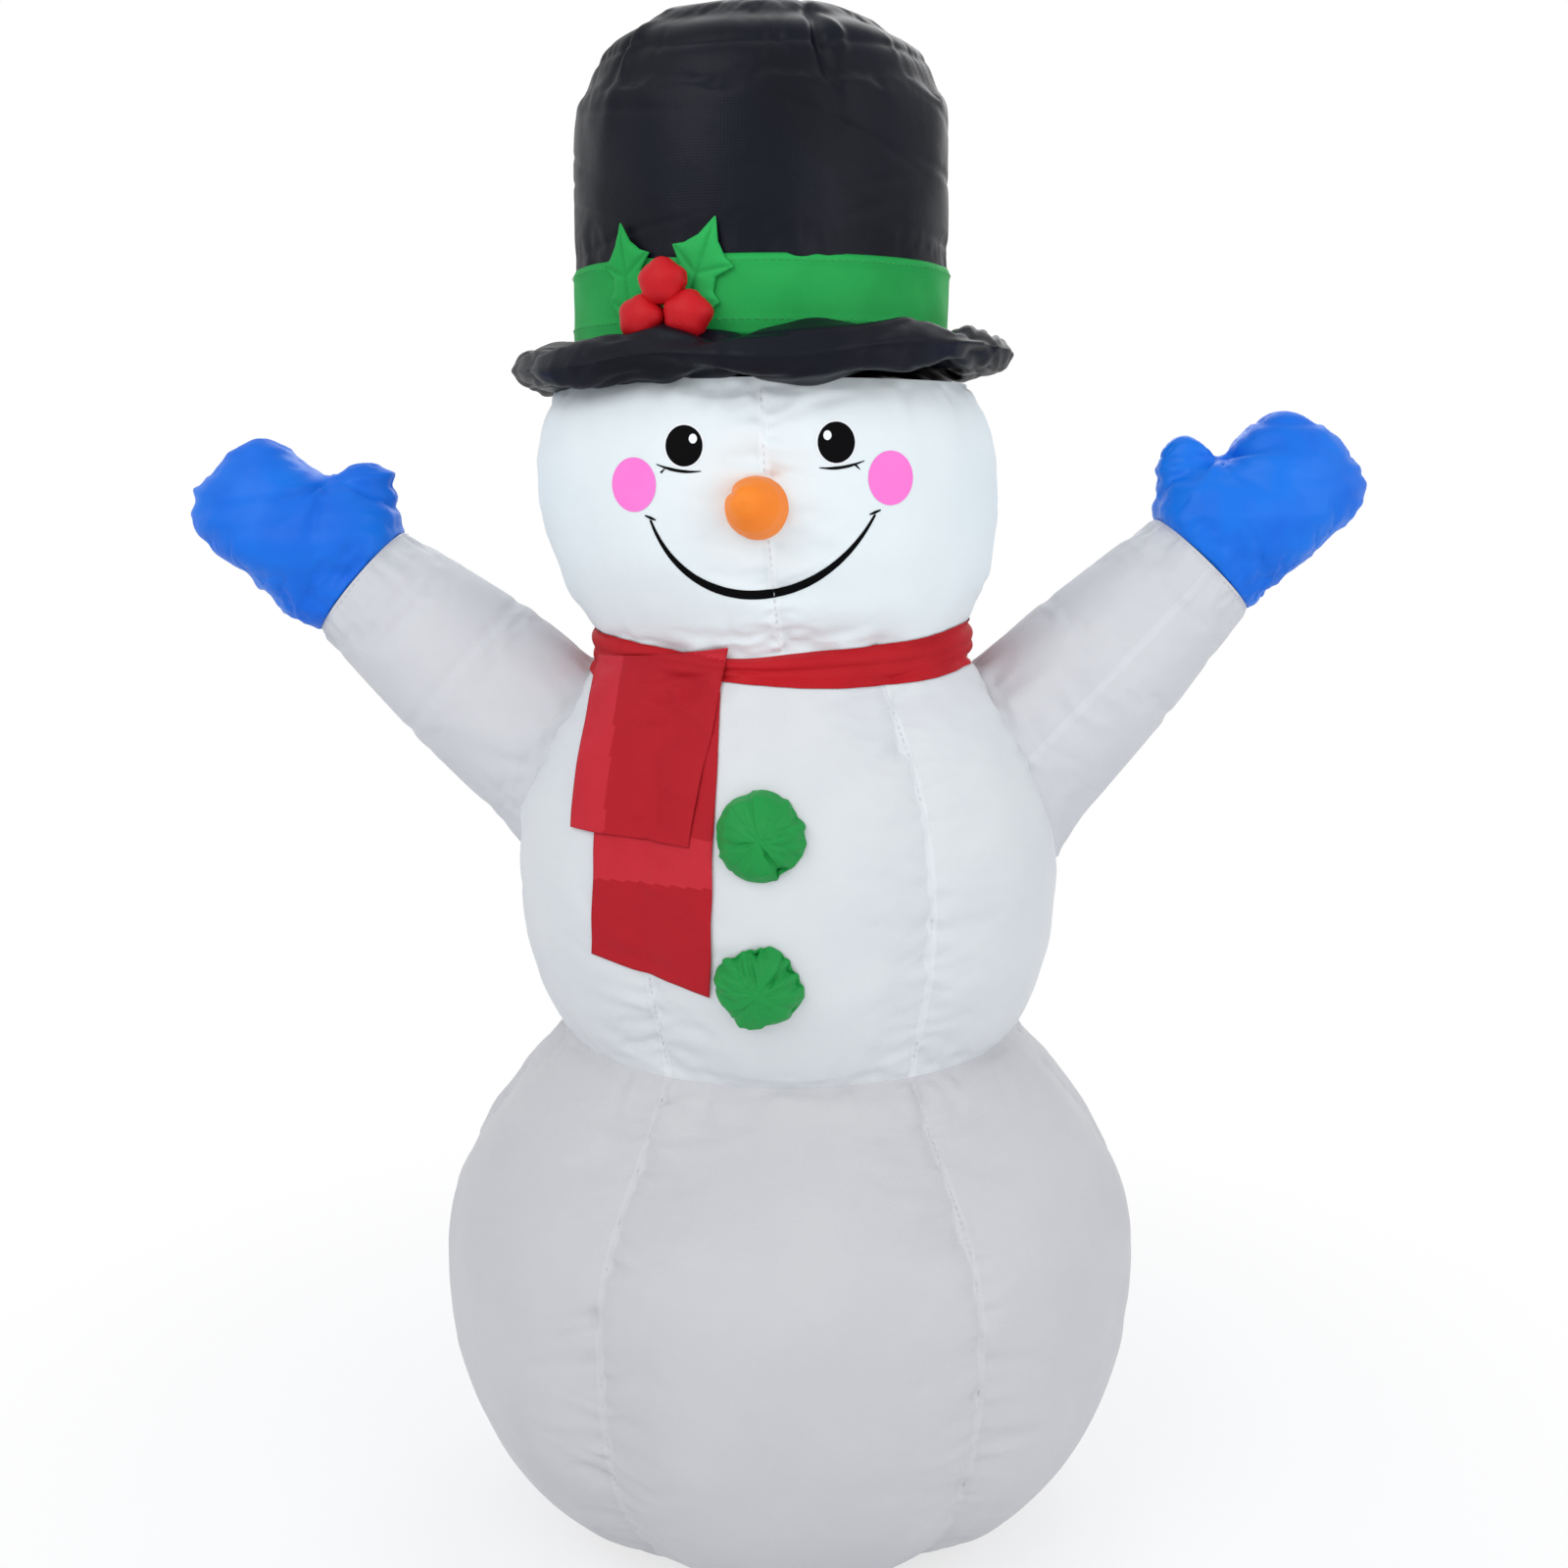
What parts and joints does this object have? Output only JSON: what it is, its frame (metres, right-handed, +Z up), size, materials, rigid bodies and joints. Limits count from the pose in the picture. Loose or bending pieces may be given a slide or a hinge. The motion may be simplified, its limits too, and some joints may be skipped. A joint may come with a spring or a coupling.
{
  "type": "inflatable yard snowman",
  "caption": "Air-blown fabric snowman with top hat, puffed brim, holly sprig, carrot nose, scarf with loose tails, mittens, rear fan, zipper and ground straps.",
  "frame": {"origin": "centre of the flat base panel on the ground", "axes": "+Z up; the snowman faces -Y; +X is its left hand"},
  "size_m": [1.1809, 0.7372, 1.524],
  "materials": {
    "white_cloth": "satin",
    "blue_cloth": "satin",
    "black_cloth": "satin",
    "green_cloth": "satin",
    "red_cloth": "satin",
    "orange_cloth": "satin",
    "webbing": "matte",
    "black_plastic": "matte",
    "grey_plastic": "matte",
    "motor_can": "satin",
    "steel": "satin",
    "black_rubber": "matte",
    "brass": "satin",
    "zip_tape": "matte",
    "zip_plastic": "gloss",
    "zip_metal": "gloss",
    "lamp_lens": "gloss"
  },
  "bodies": {
    "snowman": {"base_panel": "white_cloth", "cable_gland": "black_rubber", "fan_clamp_band": "black_plastic", "fan_housing": "black_plastic", "fan_motor": "motor_can", "fan_seal": "black_rubber", "fan_sleeve": "white_cloth", "grille_screws": "steel", "hat_band": "green_cloth", "hat_brim": "black_cloth", "hat_crown": "black_cloth", "hat_top": "black_cloth", "head_gore_1": "white_cloth", "head_gore_2": "white_cloth", "head_gore_3": "white_cloth", "head_gore_4": "white_cloth", "head_seam_allowances": "white_cloth", "holly_berries": "red_cloth", "holly_leaf_left": "green_cloth", "holly_leaf_right": "green_cloth", "intake_grille": "black_plastic", "lamp_lenses": "lamp_lens", "lamp_sockets": "black_plastic", "lamp_ties": "webbing", "left_arm": "white_cloth", "left_mitten": "blue_cloth", "light_wire": "black_rubber", "lower_button": "green_cloth", "lower_gore_1": "white_cloth", "lower_gore_2": "white_cloth", "lower_gore_3": "white_cloth", "lower_gore_4": "white_cloth", "lower_gore_5": "white_cloth", "lower_gore_6": "white_cloth", "lower_seam_allowances": "white_cloth", "nose": "orange_cloth", "right_arm": "white_cloth", "right_mitten": "blue_cloth", "scarf_wrap": "red_cloth", "stake_eyelets": "brass", "stake_straps": "webbing", "tether_tabs": "webbing", "torso_gore_1": "white_cloth", "torso_gore_2": "white_cloth", "torso_gore_3": "white_cloth", "torso_gore_4": "white_cloth", "torso_gore_5": "white_cloth", "torso_gore_6": "white_cloth", "torso_seam_allowances": "white_cloth", "upper_button": "green_cloth", "zip_coil": "zip_plastic", "zip_tapes": "zip_tape"},
    "fan_rotor": {"fan_impeller": "grey_plastic", "fan_shaft": "steel"},
    "zip_slider": {"zip_slider": "zip_metal"},
    "zip_pull": {"zip_pull": "zip_metal"},
    "tether_ring_left": {"tether_ring_left": "steel"},
    "tether_ring_right": {"tether_ring_right": "steel"},
    "scarf_long_tail": {"scarf_long_tail": "red_cloth"},
    "scarf_short_tail": {"scarf_short_tail": "red_cloth"}
  },
  "joints": [
    {"name": "fan_spin", "type": "hinge", "parent": "snowman", "child": "fan_rotor", "pos_m": [0, 0.31667, 0.11], "axis": [0, 0.8829, -0.4695], "continuous": true},
    {"name": "zip_slide", "type": "hinge", "parent": "snowman", "child": "zip_slider", "pos_m": [0, 0, 0.318], "axis": [0, 0, 1], "range_deg": [0, 28]},
    {"name": "zip_pull_swing", "type": "hinge", "parent": "zip_slider", "child": "zip_pull", "pos_m": [-0.26565, 0.25654, 0.318], "axis": [0, 0, -1], "range_deg": [0, 175]},
    {"name": "tether_ring_left_swing", "type": "hinge", "parent": "snowman", "child": "tether_ring_left", "pos_m": [0.18191, 0.21679, 0.71], "axis": [0.766, -0.6428, 0], "range_deg": [-6, 120]},
    {"name": "tether_ring_right_swing", "type": "hinge", "parent": "snowman", "child": "tether_ring_right", "pos_m": [-0.18191, 0.21679, 0.71], "axis": [0.766, 0.6428, 0], "range_deg": [-6, 120]},
    {"name": "scarf_long_tail_lift", "type": "hinge", "parent": "snowman", "child": "scarf_long_tail", "pos_m": [-0.13583, -0.15086, 0.915], "axis": [-0.7431, 0.6691, 0], "range_deg": [0, 60]},
    {"name": "scarf_short_tail_lift", "type": "hinge", "parent": "scarf_long_tail", "child": "scarf_short_tail", "pos_m": [-0.13583, -0.15086, 0.915], "axis": [-0.7431, 0.6691, 0], "range_deg": [0, 60]}
  ]
}
